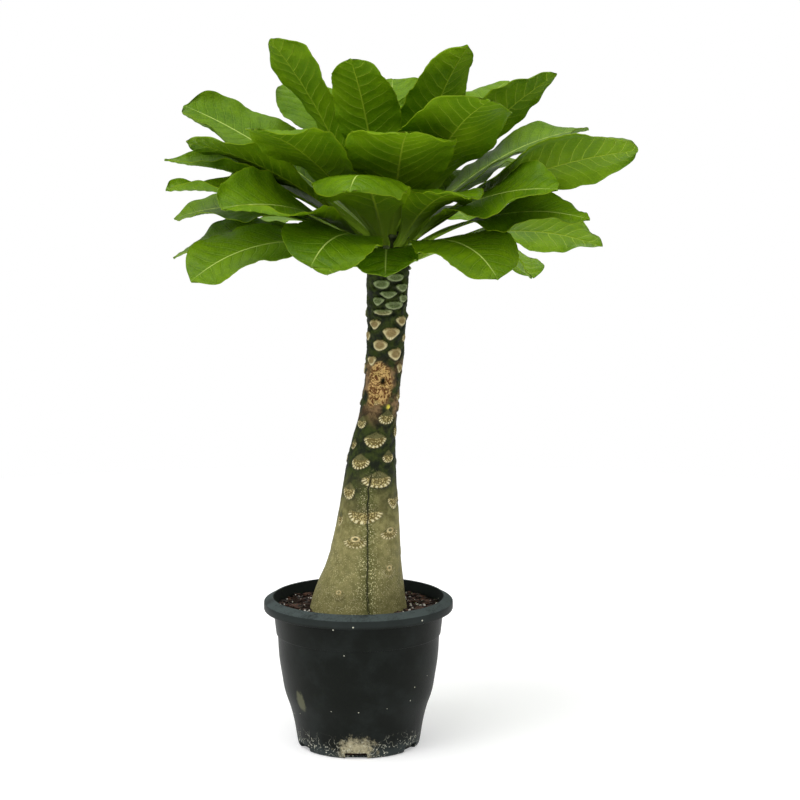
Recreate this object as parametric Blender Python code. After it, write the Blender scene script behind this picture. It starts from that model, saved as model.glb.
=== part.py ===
"""Potted Hawaiian palm: a swollen-stemmed plant with a crown of spoon-shaped leaves in a nursery pot.

Metres, +Z up. The origin is the middle of the pot's underside, on the ground. -Y is the front.
"""

import math

import bpy
import numpy as np

# Pot, turned about Z.
POT_RIM_RADIUS = 0.087
POT_HEIGHT = 0.1385
POT_FOOT_RADIUS = 0.0568
POT_MOUTH_RADIUS = 0.0780
POT_WALL = 0.0016
POT_FLOOR = 0.0018
POT_FLOOR_RADIUS = 0.0540
POT_SIDES = 42
# Outer wall below the rim: radius and height, from the foot up.
POT_SIDE_WALL = [
    (0.0578, 0.0100), (0.0594, 0.0200), (0.0630, 0.0353), (0.0681, 0.0505), (0.0708, 0.0657),
    (0.0730, 0.0800), (0.0745, 0.1030), (0.0756, 0.1045), (0.0774, 0.1185),
]
# Rim, from the underside of its outer band over the sloping top face to the mouth.
POT_RIM = [
    (POT_RIM_RADIUS - 0.0010, 0.1266), (POT_RIM_RADIUS, 0.1284), (POT_RIM_RADIUS - 0.0003, 0.1333),
    (POT_RIM_RADIUS - 0.0016, 0.1349), (POT_MOUTH_RADIUS + 0.0018, POT_HEIGHT - 0.0002),
    (POT_MOUTH_RADIUS + 0.0006, POT_HEIGHT), (POT_MOUTH_RADIUS, POT_HEIGHT - 0.0010),
]
POT_INSIDE_HEIGHTS = (0.1185, 0.0800, 0.0505, 0.0200)
DRAIN_SLOTS = 6
DRAIN_SLOT_SIZE = (0.014, 0.020, 0.0116)
FIRST_SLOT_ANGLE = math.radians(268.5)

# Soil, filling the pot to below its rim, with a plain hole for the trunk's root end.
SOIL_LEVEL = 0.128
SOIL_EDGE_LEVEL = 0.125
SOIL_RINGS = ((0.0680, 1.0), (0.0620, 1.0), (0.0560, 1.0), (0.0495, 0.5))
SOIL_LUMP = 0.0022
SOIL_WALL_GAP = 0.0006
HOLE_TOP = 0.124
HOLE_GAP = 0.0005
CLEARANCE = 0.0003

# Trunk, as rings up a gently leaning line: height, radius, lean towards +X.
TRUNK_SIDES = 30
TRUNK_RING_STEP = 0.0049
ROOT_END = 0.072
ROOT_SHOULDER = 0.098
TRUNK_STATIONS = [
    (ROOT_END, 0.0400, 0.0000), (ROOT_SHOULDER, 0.0445, 0.0000),
    (0.118, 0.0458, 0.0000), (0.134, 0.0433, 0.0002),
    (0.152, 0.0392, 0.0022), (0.169, 0.0345, 0.0050), (0.192, 0.0308, 0.0075), (0.214, 0.0280, 0.0093),
    (0.236, 0.0252, 0.0104), (0.259, 0.0228, 0.0118), (0.281, 0.0200, 0.0140), (0.303, 0.0176, 0.0177),
    (0.325, 0.0165, 0.0210), (0.347, 0.0167, 0.0232), (0.369, 0.0169, 0.0250), (0.390, 0.0176, 0.0260),
    (0.412, 0.0184, 0.0265), (0.430, 0.0188, 0.0270), (0.455, 0.0180, 0.0280), (0.475, 0.0160, 0.0288),
    (0.496, 0.0135, 0.0294), (0.501, 0.0090, 0.0296), (0.5045, 0.0030, 0.0296),
]
SCAR_RISE = 0.0016
# Scars of fallen leaves on the front: place across the trunk from -1 to 1, height, width and
# length in millimetres.
FRONT_SCARS = [
    (0.37, 432, 16, 6), (-0.27, 426, 14, 7), (0.67, 423, 11, 7), (0.07, 417, 13, 5),
    (-0.41, 411, 9, 6), (0.75, 413, 9, 7), (0.37, 407, 18, 7), (-0.17, 401, 18, 5),
    (0.74, 393, 11, 9), (-0.58, 390, 11, 8), (0.26, 382, 13, 10), (-0.89, 379, 6, 8),
    (-0.29, 371, 13, 8), (0.91, 377, 6, 8), (0.55, 363, 13, 10), (-0.66, 357, 9, 8),
    (-0.27, 320, 13, 6), (0.82, 350, 7, 9), (0.89, 324, 6, 8), (0.47, 306, 15, 14),
    (-0.75, 301, 12, 12), (0.95, 293, 7, 13), (0.06, 286, 21, 15), (-0.85, 281, 7, 10),
    (-0.47, 266, 18, 15), (0.69, 270, 13, 12), (0.30, 250, 29, 16), (-0.75, 239, 16, 16),
    (0.84, 230, 15, 16), (-0.14, 219, 34, 18), (-0.88, 213, 8, 15), (0.71, 201, 22, 13),
    (-0.33, 194, 23, 13), (0.68, 167, 16, 13), (-0.47, 147, 14, 10),
]
# Scars round the back follow the golden angle up the trunk, one every step of height.
GOLDEN_ANGLE = math.radians(137.5)
SCARS_FROM = 0.137
SCARS_TO = 0.438
BACK_SCARS_FROM = 0.150
BACK_SCARS_TO = 0.434
BACK_SCAR_STEP = 0.0039
BACK_FROM_SINE = 0.12
# Half width and half length of a back scar: share of the stem's radius, plus a length.
BACK_SCAR_WIDTH = (0.30, 0.0020)
BACK_SCAR_LENGTH = (0.12, 0.0030)
# Sunken corky patch on the front, high on the trunk.
CORKY_PATCH = (-0.13, 338, 22, 34)
CORKY_DEPTH = 0.0010

# Leaves. A leaf sits on the stem at a height that depends on its elevation.
SEAT_LOW = 0.440
SEAT_HIGH = 0.4925
SEAT_LOW_ANGLE = -10.0
SEAT_HIGH_ANGLE = 65.0
LEAF_GAP = 0.0004
LEAF_COLUMNS = 4
STALK_WIDTH = 0.0078
STALK_THICKNESS = 0.0036
BLADE_THICKNESS = 0.0013
EDGE_THICKNESS = 0.0008
LEAF_ROW_PLACES = (0.0, 0.05, 0.13, 0.24, 0.36, 0.48, 0.60, 0.71, 0.81, 0.90, 0.96, 1.0)
WIDEST_AT = 0.72
TIP_ROUNDING = 0.285
TIP_FULLNESS = 2.3
TIP_BOW = 0.02
CURVE_HANDLE = 0.36
RIPPLES = 2.1
OTHER_EDGE_PHASE = 0.37

# One line for each leaf, from the top of the crown down: name, azimuth, elevation, length,
# width, lift, droop, roll, cup, wave and the wave's phase. Angles are degrees, lengths
# millimetres. Azimuth 270 faces the front. Elevation is that of the line from seat to tip: the
# stalk starts steeper by the lift, and the tip ends lower by the droop. Roll turns the blade
# about its midrib, and cup lifts its sides.
LEAVES = [
    ("leaf_heart_front", 296, 71, 98, 40, 6, 6, 0, 20, 3, 0.1),
    ("leaf_heart_left", 172, 71, 100, 38, 6, 6, 0, 20, 3, 0.5),
    ("leaf_heart_back", 56, 68, 110, 42, 8, 8, 0, 20, 3, 0.8),
    ("leaf_upright_right", 314, 57, 177, 68, 10, 10, -4, 12, 4, 0.2),
    ("leaf_upright_centre", 252, 53, 173, 60, 8, 8, 2, 14, 4, 0.6),
    ("leaf_upright_left", 201, 54.5, 192, 64, 6, 6, 14, 12, 4, 0.0),
    ("leaf_back_centre", 89, 49, 174, 74, 16, 16, 0, 12, 5, 0.3),
    ("leaf_back_left", 148, 47, 172, 72, 16, 16, -18, 12, 5, 0.7),
    ("leaf_back_right", 39, 43, 195, 68, 14, 14, 8, 12, 5, 0.4),
    ("leaf_high_right", 353, 42.5, 202, 62, 10, 10, -32, 16, 2.5, 0.9),
    ("leaf_broad_right", 305, 38.5, 186, 98, 14, 14, -8, 10, 5, 0.2),
    ("leaf_back_upper", 114, 36, 190, 70, 22, 22, 0, 8, 5, 0.1),
    ("leaf_broad_front", 276, 33, 172, 98, 14, 14, 0, 12, 5, 0.5),
    ("leaf_high_left", 167, 31, 226, 78, 10, 10, -24, 8, 5, 0.1),
    ("leaf_high_left_front", 190, 26, 202, 76, 14, 14, 16, 6, 5, 0.6),
    ("leaf_back_middle", 68, 29, 200, 70, 22, 22, 0, 8, 5, 0.7),
    ("leaf_broad_left", 230, 29.5, 198, 80, 16, 16, 4, 12, 5, 0.3),
    ("leaf_side_right_back", 18, 27, 218, 70, 20, 20, 8, 10, 5, 0.2),
    ("leaf_back_left_middle", 142, 17, 205, 76, 24, 24, 0, 8, 5, 0.4),
    ("leaf_long_right", 352, 21, 238, 80, 20, 12, -32, 10, 4, 0.8),
    ("leaf_glossy_right", 325, 17, 184, 84, 22, 18, 26, 6, 6, 0.3),
    ("leaf_front", 258, 19, 162, 84, 35, 56, 0, -13, 5, 0.6),
    ("leaf_front_right", 299, 19, 150, 60, 26, 26, -6, 12, 5, 0.1),
    ("leaf_back_right_middle", 44, 20, 205, 70, 26, 26, 0, 8, 5, 0.9),
    ("leaf_middle_left", 173, 20.5, 220, 76, 18, 13, -4, 10, 5, 0.5),
    ("leaf_back_low_centre", 95, 17, 205, 68, 26, 26, 0, 8, 5, 0.3),
    ("leaf_middle_left_front", 193, 15, 208, 72, 20, 18, -8, 6, 5, 0.0),
    ("leaf_front_left", 225, 12, 200, 76, 20, 20, -25, 16, 5, 0.8),
    ("leaf_lower_right", 336, 10, 194, 80, 22, 20, 18, 6, 6, 0.5),
    ("leaf_back_low_left", 122, 12, 206, 68, 28, 28, 0, 8, 5, 0.6),
    ("leaf_low_left_back", 163, 8, 212, 76, 26, 26, -20, 10, 5, 0.2),
    ("leaf_low_right", 9, 3, 200, 78, 24, 20, -28, 8, 5, 0.8),
    ("leaf_low_back_right", 67, 7, 204, 68, 30, 30, 0, 8, 5, 0.4),
    ("leaf_low_back_left", 138, 2, 206, 66, 34, 34, 0, 8, 5, 0.9),
    ("leaf_drooping_front_left", 245, 0.5, 152, 82, 44, 44, -18, 6, 5, 0.4),
    ("leaf_drooping_front", 269, -3, 108, 56, 44, 44, 0, 6, 5, 0.9),
    ("leaf_drooping_right", 307, -2.5, 156, 88, 44, 42, 9, 6, 5, 0.6),
    ("leaf_lowest_left", 170, 0, 202, 72, 34, 28, -14, 10, 5, 0.7),
    ("leaf_lowest_left_front", 206, -3.5, 190, 78, 34, 34, -22, 8, 5, 0.3),
    ("leaf_lowest_back", 92, -1, 196, 66, 38, 38, 0, 6, 5, 0.5),
    ("leaf_lowest_right_back", 40, -6, 184, 66, 36, 36, 0, 6, 5, 0.2),
    ("leaf_lowest_right", 350, -5, 132, 62, 40, 40, 0, 8, 5, 0.4),
    ("leaf_lowest_back_left", 118, -7, 128, 58, 40, 40, 0, 6, 5, 0.0),
]


def clear_scene():
    for item in list(bpy.data.objects):
        bpy.data.objects.remove(item, do_unlink=True)


def finish_material(name, colour, roughness):
    material = bpy.data.materials.new(name)
    material.use_nodes = True
    shader = material.node_tree.nodes["Principled BSDF"]
    shader.inputs["Base Color"].default_value = (*colour, 1.0)
    shader.inputs["Roughness"].default_value = roughness
    shader.inputs["Metallic"].default_value = 0.0
    return material


def add_object(name, vertices, faces, material, smooth_angle=40.0):
    mesh = bpy.data.meshes.new(name)
    mesh.from_pydata([tuple(v) for v in vertices], [], faces)
    mesh.validate()
    mesh.shade_smooth()
    mesh.set_sharp_from_angle(angle=math.radians(smooth_angle))
    mesh.materials.append(material)
    piece = bpy.data.objects.new(name, mesh)
    bpy.context.scene.collection.objects.link(piece)
    return piece


def smooth_step(low, high, value):
    t = min(1.0, max(0.0, (value - low) / (high - low)))
    return t * t * (3.0 - 2.0 * t)


def rings_to_solid(rings):
    """Join rings of equal size, first to last, into one closed body, with a fan at each end."""
    sides = len(rings[0])
    vertices = [point for ring in rings for point in ring]
    faces = []
    for row in range(len(rings) - 1):
        for side in range(sides):
            a = row * sides + side
            b = row * sides + (side + 1) % sides
            faces.append((a, b, b + sides))
            faces.append((a, b + sides, a + sides))
    for row, flip in ((0, True), (len(rings) - 1, False)):
        middle = len(vertices)
        vertices.append(np.mean(np.array(rings[row]), axis=0))
        for side in range(sides):
            a = row * sides + side
            b = row * sides + (side + 1) % sides
            faces.append((b, a, middle) if flip else (a, b, middle))
    return vertices, faces


def circle(radius, height, sides, first=0.0):
    """Points round Z, the first one turned by the given share of a side."""
    angles = [2.0 * math.pi * (side + first) / sides for side in range(sides)]
    return [(radius * math.cos(angle), radius * math.sin(angle), height) for angle in angles]


def pot_inner_radius(height):
    heights = [z for _, z in POT_SIDE_WALL] + [POT_HEIGHT]
    radii = [r - POT_WALL for r, _ in POT_SIDE_WALL] + [POT_MOUTH_RADIUS]
    return float(np.interp(height, heights, radii))


def build_pot():
    """Thin moulded wall with a shallow step, a sloping rim with a deep band, and slots in its foot."""
    material = finish_material("pot_plastic", (0.018, 0.020, 0.019), 0.55)
    foot = [(POT_FOOT_RADIUS - 0.0032, 0.0), (POT_FOOT_RADIUS - 0.0008, 0.0012), (POT_FOOT_RADIUS, 0.0040)]
    outside = foot + POT_SIDE_WALL
    inside = [(pot_inner_radius(z), z) for z in POT_INSIDE_HEIGHTS]
    inside.append((POT_FLOOR_RADIUS, POT_FLOOR))
    rings = [circle(radius, height, POT_SIDES) for radius, height in outside + POT_RIM + inside]
    vertices, faces = rings_to_solid(rings)
    pot = add_object("pot", vertices, faces, material)
    cut_drain_slots(pot)
    return pot


def cut_drain_slots(pot):
    for index in range(DRAIN_SLOTS):
        angle = FIRST_SLOT_ANGLE + 2.0 * math.pi * index / DRAIN_SLOTS
        bpy.ops.mesh.primitive_cube_add(
            size=1.0,
            location=(POT_FOOT_RADIUS * math.cos(angle), POT_FOOT_RADIUS * math.sin(angle), 0.0),
            rotation=(0.0, 0.0, angle),
        )
        cutter = bpy.context.active_object
        cutter.name = f"drain_slot_cutter_{index + 1}"
        cutter.scale = DRAIN_SLOT_SIZE
        cutter.hide_render = True
        cutter.display_type = "WIRE"
        cut = pot.modifiers.new(cutter.name, "BOOLEAN")
        cut.operation = "DIFFERENCE"
        cut.object = cutter


def trunk_at(height):
    heights = [station[0] for station in TRUNK_STATIONS]
    radius = float(np.interp(height, heights, [station[1] for station in TRUNK_STATIONS]))
    lean = float(np.interp(height, heights, [station[2] for station in TRUNK_STATIONS]))
    return radius, lean


def front_angle(across):
    return math.radians(270.0) + math.asin(across)


def trunk_scars():
    """Every scar as angle round the trunk, height, half width and half length."""
    scars = [(front_angle(x), z / 1000, w / 2000, h / 2000) for x, z, w, h in FRONT_SCARS]
    count = int((BACK_SCARS_TO - BACK_SCARS_FROM) / BACK_SCAR_STEP)
    for index in range(count):
        height = BACK_SCARS_FROM + index * BACK_SCAR_STEP
        angle = (index * GOLDEN_ANGLE) % (2.0 * math.pi)
        radius = trunk_at(height)[0]
        if math.sin(angle) > BACK_FROM_SINE:
            scar_width = BACK_SCAR_WIDTH[0] * radius + BACK_SCAR_WIDTH[1]
            scar_length = BACK_SCAR_LENGTH[0] * radius + BACK_SCAR_LENGTH[1]
            scars.append((angle, height, scar_width, scar_length))
    return scars


def pad(angle, height, radius, scar):
    """1 on the scar's flat, falling to 0 just outside its edge."""
    scar_angle, scar_height, scar_width, scar_length = scar
    turn = (angle - scar_angle + math.pi) % (2.0 * math.pi) - math.pi
    across = turn * radius / scar_width
    along = (height - scar_height) / scar_length
    return 1.0 - smooth_step(0.75, 1.35, math.hypot(across, along))


def build_trunk():
    """One swollen fleshy stem, narrow at its waist, with leaf scars raised a little."""
    material = finish_material("trunk_bark", (0.120, 0.110, 0.045), 0.70)
    scars = trunk_scars()
    patch_across, patch_height, patch_width, patch_length = CORKY_PATCH
    patch = (front_angle(patch_across), patch_height / 1000, patch_width / 2000, patch_length / 2000)
    heights = [ROOT_END, ROOT_SHOULDER, HOLE_TOP, SOIL_LEVEL + SOIL_LUMP]
    height = SCARS_FROM
    while height < SCARS_TO:
        heights.append(height)
        height += TRUNK_RING_STEP
    heights += [z for z, _, _ in TRUNK_STATIONS if z > height]
    rings = []
    for height in heights:
        radius, lean = trunk_at(height)
        ring = []
        for side in range(TRUNK_SIDES):
            angle = 2.0 * math.pi * (side + 0.5) / TRUNK_SIDES
            rise = 0.0
            if SCARS_FROM <= height < SCARS_TO:
                rise = SCAR_RISE * max(pad(angle, height, radius, scar) for scar in scars)
                rise -= CORKY_DEPTH * pad(angle, height, radius, patch)
            reach = radius + rise
            ring.append((lean + reach * math.cos(angle), reach * math.sin(angle), height))
        rings.append(ring)
    vertices, faces = rings_to_solid(rings)
    return add_object("trunk", vertices, faces, material, 60.0)


def build_soil():
    """Bark and peat that fills the pot, lumpy on top, with a plain hole for the trunk's root end."""
    material = finish_material("potting_soil", (0.045, 0.028, 0.018), 0.95)
    hole_floor = ROOT_END - CLEARANCE
    outer = pot_inner_radius(SOIL_LEVEL) - SOIL_WALL_GAP
    profile = [(POT_FLOOR_RADIUS - 2.0 * SOIL_WALL_GAP, POT_FLOOR + CLEARANCE, 0.0)]
    profile += [(pot_inner_radius(z) - SOIL_WALL_GAP, z, 0.0) for z in reversed(POT_INSIDE_HEIGHTS)]
    profile += [(outer, SOIL_EDGE_LEVEL, 0.0), (outer - 0.0020, SOIL_LEVEL, 0.6)]
    profile += [(radius, SOIL_LEVEL, lumpy) for radius, lumpy in SOIL_RINGS]
    profile += [(trunk_at(z)[0] + HOLE_GAP, z, 0.0) for z in (HOLE_TOP, ROOT_SHOULDER, hole_floor)]
    rings = []
    for radius, height, lumpy in profile:
        ring = []
        for x, y, z in circle(radius, height, TRUNK_SIDES, 0.5):
            lump = math.sin(310.0 * x + 1.3) * math.sin(270.0 * y + 0.4)
            lump += 0.6 * math.sin(520.0 * x - 410.0 * y)
            ring.append((x, y, z + SOIL_LUMP * lumpy * lump))
        rings.append(ring)
    vertices, faces = rings_to_solid(rings)
    return add_object("soil", vertices, faces, material, 50.0)


def seat_height(elevation):
    """Upright leaves grow nearest the tip of the stem, drooping ones lowest."""
    share = (elevation - SEAT_LOW_ANGLE) / (SEAT_HIGH_ANGLE - SEAT_LOW_ANGLE)
    return SEAT_LOW + (SEAT_HIGH - SEAT_LOW) * min(1.0, max(0.0, share))


def direction(azimuth, elevation):
    flat = math.cos(elevation)
    return np.array([flat * math.cos(azimuth), flat * math.sin(azimuth), math.sin(elevation)])


def half_width(u, width):
    """Half the leaf's width: a stalk that widens to a spoon and closes in a round tip."""
    stalk = STALK_WIDTH / 2.0
    if u <= WIDEST_AT:
        return stalk + (width / 2.0 - stalk) * smooth_step(0.04, WIDEST_AT - 0.08, u)
    return width / 2.0 * (1.0 - ((u - WIDEST_AT) / TIP_ROUNDING) ** TIP_FULLNESS) ** (1.0 / TIP_FULLNESS)


def leaf_point(leaf, u, v, side):
    """A point at u along the leaf, v across it, on its upper (1) or under (-1) side."""
    _, azimuth, elevation, length, width, lift, droop, roll, cup, wave, phase = leaf
    azimuth, elevation, lift, droop = (math.radians(value) for value in (azimuth, elevation, lift, droop))
    length, width, wave = length / 1000, width / 1000, wave / 1000
    seat = seat_height(math.degrees(elevation))
    radius, lean = trunk_at(seat)
    outward = direction(azimuth, 0.0)
    middle = np.array([lean, 0.0, seat])
    start = middle + outward * (radius + LEAF_GAP)
    end = middle + direction(azimuth, elevation) * length
    handle = CURVE_HANDLE * np.linalg.norm(end - start)
    first = start + direction(azimuth, elevation + lift) * handle
    last = end - direction(azimuth, elevation - droop) * handle
    reach = u * (1.0 - TIP_BOW * v * v * smooth_step(0.5, 1.0, u))
    rest = 1.0 - reach
    centre = rest**3 * start + 3 * rest**2 * reach * first + 3 * rest * reach**2 * last + reach**3 * end
    along = rest**2 * (first - start) + 2 * rest * reach * (last - first) + reach**2 * (end - last)
    along /= np.linalg.norm(along)
    across = np.array([-math.sin(azimuth), math.cos(azimuth), 0.0])
    above = np.cross(along, across)
    turn = math.radians(roll) * smooth_step(0.15, 0.7, u)
    across, above = (
        math.cos(turn) * across + math.sin(turn) * above,
        math.cos(turn) * above - math.sin(turn) * across,
    )
    seated = 1.0 - smooth_step(0.0, 0.09, u)
    upright = np.array([0.0, 0.0, 1.0])
    thick_way = seated * upright + (1.0 - seated) * above
    thick_way /= np.linalg.norm(thick_way)
    half = half_width(u, width)
    bend = math.radians(cup) * 2.0 * smooth_step(0.1, 0.5, u)
    sideways = half * v
    rise = 0.0
    if abs(bend) > 0.01:
        sideways = half * math.sin(bend * v) / bend
        rise = half * (1.0 - math.cos(bend * v)) / bend
    edge_phase = OTHER_EDGE_PHASE if v > 0 else 0.0
    ripple = math.sin(2.0 * math.pi * (RIPPLES * u + phase + edge_phase))
    rise += wave * v * v * ripple * smooth_step(0.3, 0.6, u)
    fleshy = 1.0 - smooth_step(0.05, 0.42, u)
    thickness = BLADE_THICKNESS + (STALK_THICKNESS - BLADE_THICKNESS) * fleshy
    thickness += (EDGE_THICKNESS - BLADE_THICKNESS) * (1.0 - fleshy) * v * v
    return centre + across * sideways + above * rise + thick_way * (side * thickness / 2.0)


def build_leaf(leaf, material):
    """A closed thin blade: two alike grids joined round their border."""
    rows = LEAF_ROW_PLACES
    last_row = len(rows) - 1
    columns = [2.0 * column / LEAF_COLUMNS - 1.0 for column in range(LEAF_COLUMNS + 1)]
    wide = len(columns)
    vertices = [leaf_point(leaf, u, v, side) for side in (1, -1) for u in rows for v in columns]
    under = len(rows) * wide
    faces = []
    for row in range(last_row):
        for column in range(LEAF_COLUMNS):
            a = row * wide + column
            b, c, d = a + 1, a + wide + 1, a + wide
            halves = ((a, b, c), (a, c, d)) if column < LEAF_COLUMNS / 2 else ((a, b, d), (b, c, d))
            for one, two, three in halves:
                faces.append((three, two, one))
                faces.append((one + under, two + under, three + under))
    border = list(range(wide))
    border += [row * wide + wide - 1 for row in range(1, last_row + 1)]
    border += [last_row * wide + column for column in range(wide - 2, -1, -1)]
    border += [row * wide for row in range(last_row - 1, 0, -1)]
    for index, a in enumerate(border):
        b = border[(index + 1) % len(border)]
        faces.append((a, b, b + under))
        faces.append((a, b + under, a + under))
    return add_object(leaf[0], vertices, faces, material, 50.0)


def main():
    clear_scene()
    build_pot()
    build_soil()
    build_trunk()
    leaf_green = finish_material("leaf_flesh", (0.085, 0.160, 0.030), 0.40)
    for leaf in LEAVES:
        build_leaf(leaf, leaf_green)


main()
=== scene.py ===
"""The looks of a potted Hawaiian palm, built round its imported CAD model.

Metres, +Z up. The origin is the middle of the pot's underside, on the ground. -Y is the front.
"""

import math

import bpy
import numpy as np
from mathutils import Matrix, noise


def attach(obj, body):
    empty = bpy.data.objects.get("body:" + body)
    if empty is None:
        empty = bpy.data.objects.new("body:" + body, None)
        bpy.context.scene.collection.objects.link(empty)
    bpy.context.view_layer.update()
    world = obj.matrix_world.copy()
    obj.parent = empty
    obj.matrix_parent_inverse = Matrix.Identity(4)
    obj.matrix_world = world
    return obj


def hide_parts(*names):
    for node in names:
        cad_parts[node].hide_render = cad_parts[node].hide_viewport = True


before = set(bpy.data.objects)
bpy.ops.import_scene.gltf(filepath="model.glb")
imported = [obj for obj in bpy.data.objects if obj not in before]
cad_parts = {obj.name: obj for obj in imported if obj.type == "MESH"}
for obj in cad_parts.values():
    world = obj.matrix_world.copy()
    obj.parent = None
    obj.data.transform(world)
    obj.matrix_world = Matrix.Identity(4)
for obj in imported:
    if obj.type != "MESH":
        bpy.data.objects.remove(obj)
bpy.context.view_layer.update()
bpy.ops.object.select_all(action="DESELECT")


# Pot. One thin shell of dark grey-green plastic, injection moulded: it tapers to its foot, has a
# shallow step in its side and a wide sloping rim, and is notched at the foot so that water runs
# out. It has stood in a nursery: dust lies on its rim, and wet sand has dried round the front notch.
POT_SIDES = 160
POT_WALL = 0.0016
POT_SIDE = [
    (0.0568, 0.0040), (0.0578, 0.0100), (0.0594, 0.0200), (0.0630, 0.0353), (0.0681, 0.0505),
    (0.0708, 0.0657), (0.0730, 0.0800), (0.0745, 0.1030),
]
POT_STEP = [(0.0746, 0.1037), (0.0755, 0.1040), (0.0758, 0.1044), (0.0774, 0.1185), (0.0782, 0.1254)]
POT_RIM = [
    (0.0788, 0.1262), (0.0856, 0.1264), (0.0865, 0.1268), (0.0869, 0.1276), (0.0870, 0.1290),
    (0.0869, 0.1334), (0.0867, 0.1340), (0.0863, 0.1344), (0.0856, 0.1348), (0.0799, 0.1379),
    (0.0794, 0.1384), (0.0788, 0.1385), (0.0782, 0.1381), (0.0779, 0.1368),
]
NOTCHES = 6
NOTCH_ANGLE = math.radians(268.5)
NOTCH_SIZE = (0.014, 0.0200, 0.0116)
PLASTIC = (0.0050, 0.0066, 0.0050)
DUST = (0.062, 0.078, 0.077)
SAND = (0.480, 0.440, 0.290)
CHALK = (0.62, 0.62, 0.50)


def eased(at, places, values):
    """A smooth line through values given at places."""
    places, values = np.array(places, float), np.array(values, float)
    slopes = np.gradient(values, places)
    at = np.clip(at, places[0], places[-1])
    i = np.clip(np.searchsorted(places, at) - 1, 0, len(places) - 2)
    span = places[i + 1] - places[i]
    t = (at - places[i]) / span
    return (
        values[i] * (1 + 2 * t) * (1 - t) ** 2 + span * slopes[i] * t * (1 - t) ** 2
        + values[i + 1] * t**2 * (3 - 2 * t) - span * slopes[i + 1] * t**2 * (1 - t)
    )


side_heights = [z for _, z in POT_SIDE]
side_radii = [r for r, _ in POT_SIDE]
side_curve = [(float(eased(z, side_heights, side_radii)), float(z)) for z in np.linspace(0.004, 0.103, 26)]
pot_inside = [(r - POT_WALL, z) for r, z in reversed(side_curve[4:] + POT_STEP)]
pot_profile = [(0.0536, 0.0), (0.0552, 0.0004), (0.0562, 0.0014)] + side_curve + POT_STEP + POT_RIM
pot_profile += pot_inside + [(0.0556, 0.0055), (0.0540, 0.0018)]

bpy.ops.mesh.primitive_circle_add(vertices=POT_SIDES, radius=pot_profile[0][0], fill_type="NGON")
pot = bpy.context.active_object
pot.name = "moulded_pot"
bpy.ops.object.mode_set(mode="EDIT")
radius, height = pot_profile[0]
for next_radius, next_height in pot_profile[1:]:
    bpy.ops.mesh.extrude_region_move(TRANSFORM_OT_translate={"value": (0.0, 0.0, next_height - height)})
    grow = next_radius / radius
    bpy.ops.transform.resize(value=(grow, grow, 1.0), center_override=(0.0, 0.0, next_height))
    radius, height = next_radius, next_height
bpy.ops.mesh.select_all(action="SELECT")
bpy.ops.mesh.normals_make_consistent(inside=False)
bpy.ops.object.mode_set(mode="OBJECT")

for index in range(NOTCHES):
    angle = NOTCH_ANGLE + 2.0 * math.pi * index / NOTCHES
    bpy.ops.mesh.primitive_cube_add(
        size=1.0, location=(0.0575 * math.cos(angle), 0.0575 * math.sin(angle), 0.0),
        rotation=(0.0, 0.0, angle), scale=NOTCH_SIZE,
    )
    cutter = bpy.context.active_object
    bpy.ops.object.mode_set(mode="EDIT")
    bpy.ops.mesh.bevel(offset=0.0012, segments=3)
    bpy.ops.object.mode_set(mode="OBJECT")
    bpy.context.view_layer.objects.active = pot
    cut = pot.modifiers.new("notch", "BOOLEAN")
    cut.object = cutter
    bpy.ops.object.modifier_apply(modifier="notch")
    bpy.data.objects.remove(cutter, do_unlink=True)
bpy.ops.object.select_all(action="DESELECT")
pot.select_set(True)
bpy.ops.object.shade_smooth_by_angle(angle=math.radians(24.0))


def add_node(tree, kind, inputs=None, **settings):
    """A shader node with its settings, and each input either linked or set."""
    made = tree.nodes.new("ShaderNode" + kind)
    for name, value in settings.items():
        setattr(made, name, value)
    for name, value in (inputs or {}).items():
        socket = made.inputs[name]
        if isinstance(value, bpy.types.NodeSocket):
            tree.links.new(value, socket)
        else:
            socket.default_value = value
    return made


def sums(tree, operation, first, second=0.5, third=0.5, clamp=False):
    made = add_node(tree, "Math", {0: first, 1: second, 2: third}, operation=operation, use_clamp=clamp)
    return made.outputs[0]


def soft_step(tree, value, low, high, start=0.0, end=1.0):
    """start below low, end above high, and a smooth change between."""
    inputs = {"Value": value, "From Min": low, "From Max": high, "To Min": start, "To Max": end}
    return add_node(tree, "MapRange", inputs, interpolation_type="SMOOTHSTEP").outputs[0]


def tint(tree, share, first, second):
    """The first colour where share is 0, the second where it is 1."""
    first, second = ((*c, 1.0) if isinstance(c, tuple) else c for c in (first, second))
    return add_node(tree, "Mix", {0: share, 6: first, 7: second}, data_type="RGBA").outputs[2]


def speckle(tree, place, scale, size, share):
    """Round flecks: scale cells a metre, size of the cell, in the given share of the cells."""
    cells = add_node(tree, "TexVoronoi", {"Vector": place, "Scale": scale, "Randomness": 1.0})
    fleck = soft_step(tree, cells.outputs["Distance"], size * 0.6, size, 1.0, 0.0)
    chosen = add_node(tree, "SeparateColor", {0: cells.outputs["Color"]}).outputs[0]
    return sums(tree, "MULTIPLY", fleck, sums(tree, "LESS_THAN", chosen, share))


def grain(tree, place, scale, detail=3.0, roughness=0.55, distortion=0.0):
    inputs = {
        "Vector": place, "Scale": scale, "Detail": detail, "Roughness": roughness, "Distortion": distortion,
    }
    return add_node(tree, "TexNoise", inputs).outputs[0]


def new_finish(name):
    material = bpy.data.materials.new(name)
    material.use_nodes = True
    return material, material.node_tree, material.node_tree.nodes["Principled BSDF"]


def relief(tree, shader, height, distance):
    bump = add_node(tree, "Bump", {"Height": height, "Distance": distance, "Strength": 1.0})
    tree.links.new(bump.outputs["Normal"], shader.inputs["Normal"])


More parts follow.
